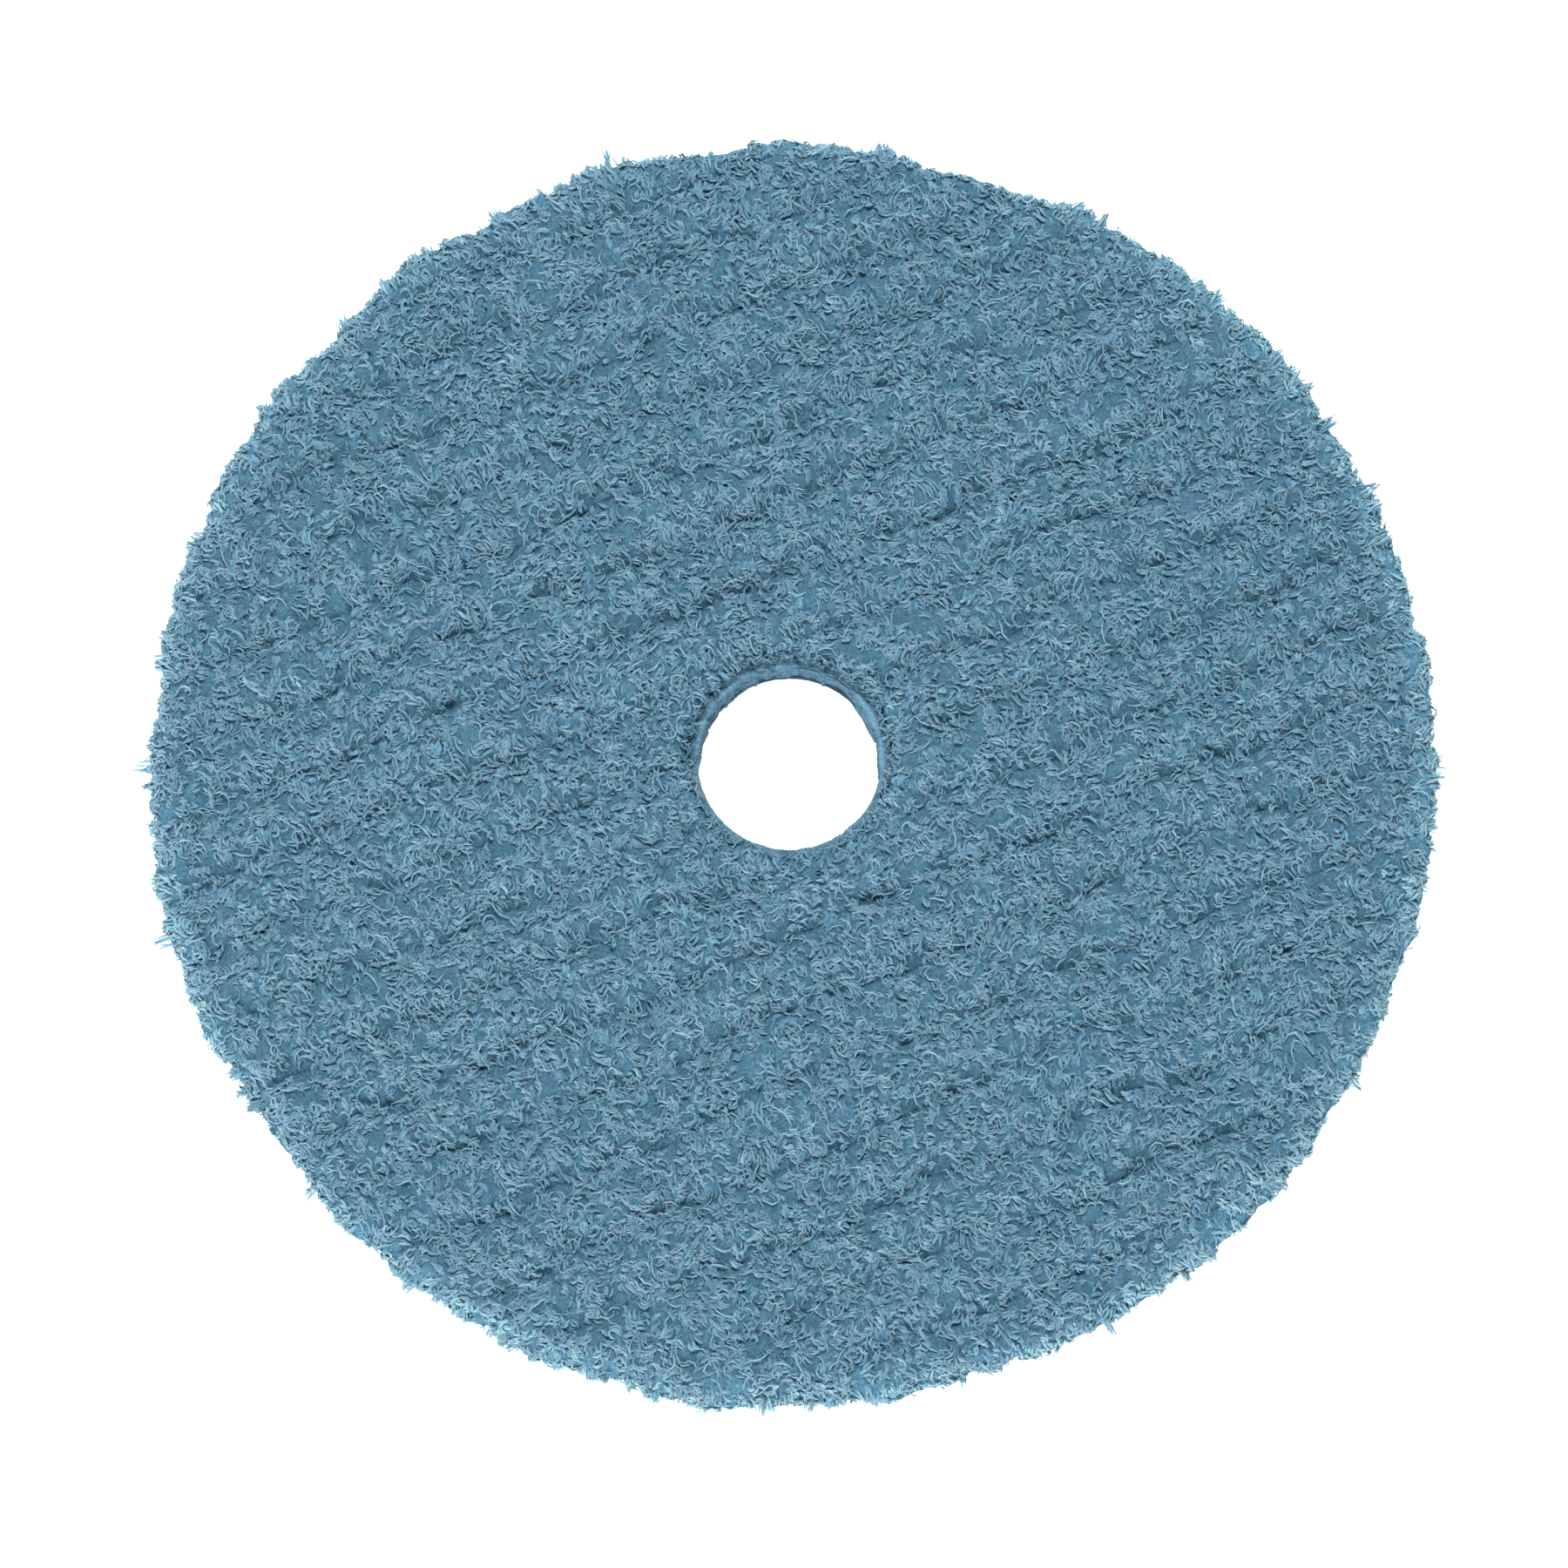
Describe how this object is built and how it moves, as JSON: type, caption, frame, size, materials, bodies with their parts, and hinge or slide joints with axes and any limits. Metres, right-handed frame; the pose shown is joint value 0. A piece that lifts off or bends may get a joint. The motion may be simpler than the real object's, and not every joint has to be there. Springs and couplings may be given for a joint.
{
  "type": "polishing pad",
  "caption": "Round microfibre polishing pad: brushed loop backing, soft foam interface and a striped blue pile face, with a centre hole.",
  "frame": {"origin": "middle of the machine-side face, on the brushed loop nap, at the axis of the centre hole", "axes": "+Z from the loop backing towards the pile face; the pile stripes run 22.5 degrees anticlockwise from +X"},
  "size_m": [0.154, 0.154, 0.013],
  "materials": {
    "pile": "matte",
    "knit": "matte",
    "bond_film": "satin",
    "foam": "matte",
    "loop_cloth": "matte",
    "loop_nap": "matte"
  },
  "bodies": {
    "hook_side": {"loop_nap": "loop_nap", "loop_ground_cloth": "loop_cloth", "loop_bond_film": "bond_film", "foam_interface": "foam"},
    "polishing_face": {"face_bond_film": "bond_film", "knitted_ground_fabric": "knit", "pile_stripe_01": "pile", "pile_stripe_02": "pile", "pile_stripe_03": "pile", "pile_stripe_04": "pile", "pile_stripe_05": "pile", "pile_stripe_06": "pile", "pile_stripe_07": "pile", "pile_stripe_08": "pile", "pile_stripe_09": "pile", "pile_stripe_10": "pile", "pile_stripe_11": "pile", "pile_stripe_12": "pile", "pile_stripe_13": "pile", "pile_stripe_14": "pile", "pile_stripe_15": "pile", "pile_stripe_16": "pile", "pile_stripe_17": "pile", "pile_stripe_18": "pile", "pile_stripe_19": "pile"}
  },
  "joints": [
    {"name": "foam_compression", "type": "slide", "parent": "hook_side", "child": "polishing_face", "axis": [0, 0, 1], "range_m": [-0.0032, 0], "stiffness_N_per_m": 12000, "deforming": ["foam_interface"]}
  ]
}
